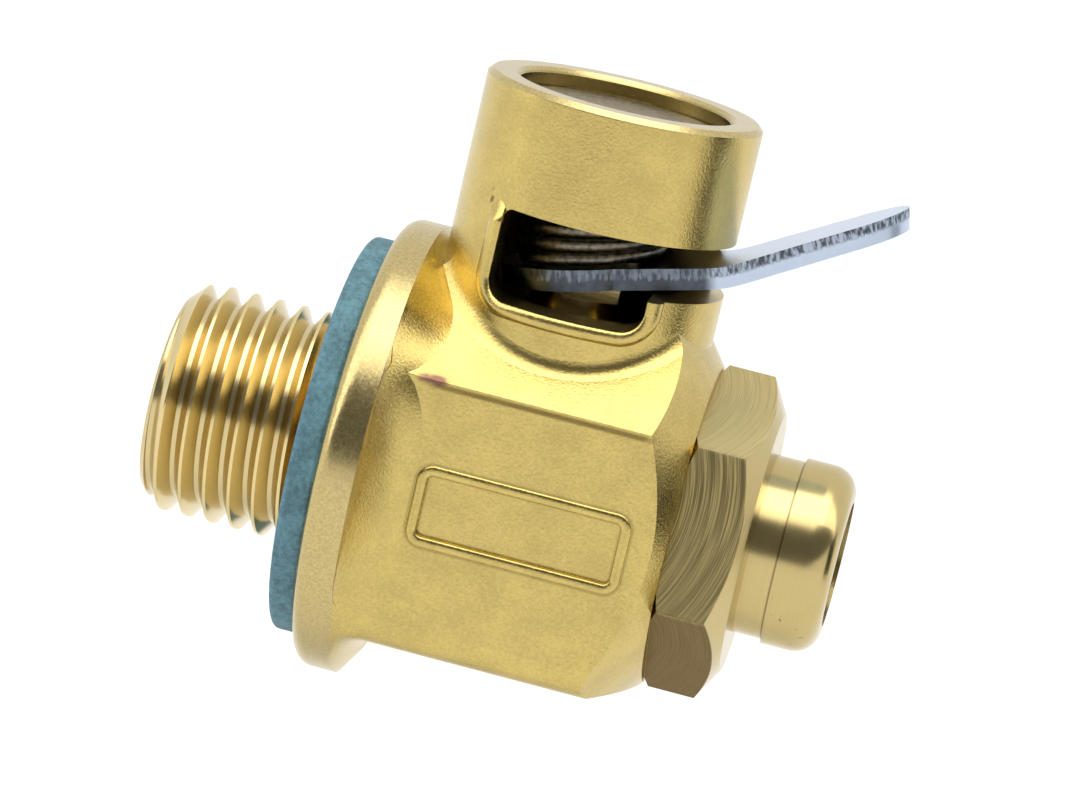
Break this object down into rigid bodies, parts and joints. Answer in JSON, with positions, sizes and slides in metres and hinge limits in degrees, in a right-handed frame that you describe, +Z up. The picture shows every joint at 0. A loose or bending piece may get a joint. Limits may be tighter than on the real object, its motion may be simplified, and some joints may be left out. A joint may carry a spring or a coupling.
{
  "type": "oil drain valve",
  "caption": "Brass quarter-turn ball valve that screws into an oil pan: thread, sealing ring, flange, flat-sided block, tower with a sprung lever, hexagon nut and outlet.",
  "frame": {"origin": "on the flow axis, at the sealing face of the gasket", "axes": "+X along the flow, from the thread to the outlet; +Z up the tower"},
  "size_m": [0.0412, 0.0274, 0.0377],
  "materials": {
    "forged_brass": "polished",
    "turned_brass": "satin",
    "lever_steel": "satin",
    "spring_steel": "satin",
    "cap_steel": "satin",
    "ball_metal": "polished",
    "gasket_fibre": "matte",
    "seat_ptfe": "satin",
    "seal_rubber": "matte"
  },
  "bodies": {
    "valve": {"valve_body": "forged_brass", "gasket": "gasket_fibre", "inlet_seat": "seat_ptfe", "outlet_seat": "seat_ptfe", "outlet_nut": "turned_brass", "nut_o_ring": "seal_rubber", "spring_cap": "cap_steel"},
    "rotor": {"stem": "turned_brass", "ball": "ball_metal", "stem_thrust_washer": "seat_ptfe", "stem_o_ring_lower": "seal_rubber", "stem_o_ring_upper": "seal_rubber", "spring": "spring_steel"},
    "handle": {"lever": "lever_steel"}
  },
  "joints": [
    {"name": "lever_turn", "type": "hinge", "parent": "valve", "child": "rotor", "pos_m": [0.0129, 0, 0], "axis": [0, 0, 1], "range_deg": [-90, 0]},
    {"name": "lever_lift", "type": "hinge", "parent": "rotor", "child": "handle", "pos_m": [0.01048, 0, 0.01217], "axis": [0, -1, 0], "range_deg": [0, 3], "stiffness_Nm_per_rad": 0.3, "springref_deg": -17.19, "deforming": ["spring"]}
  ]
}
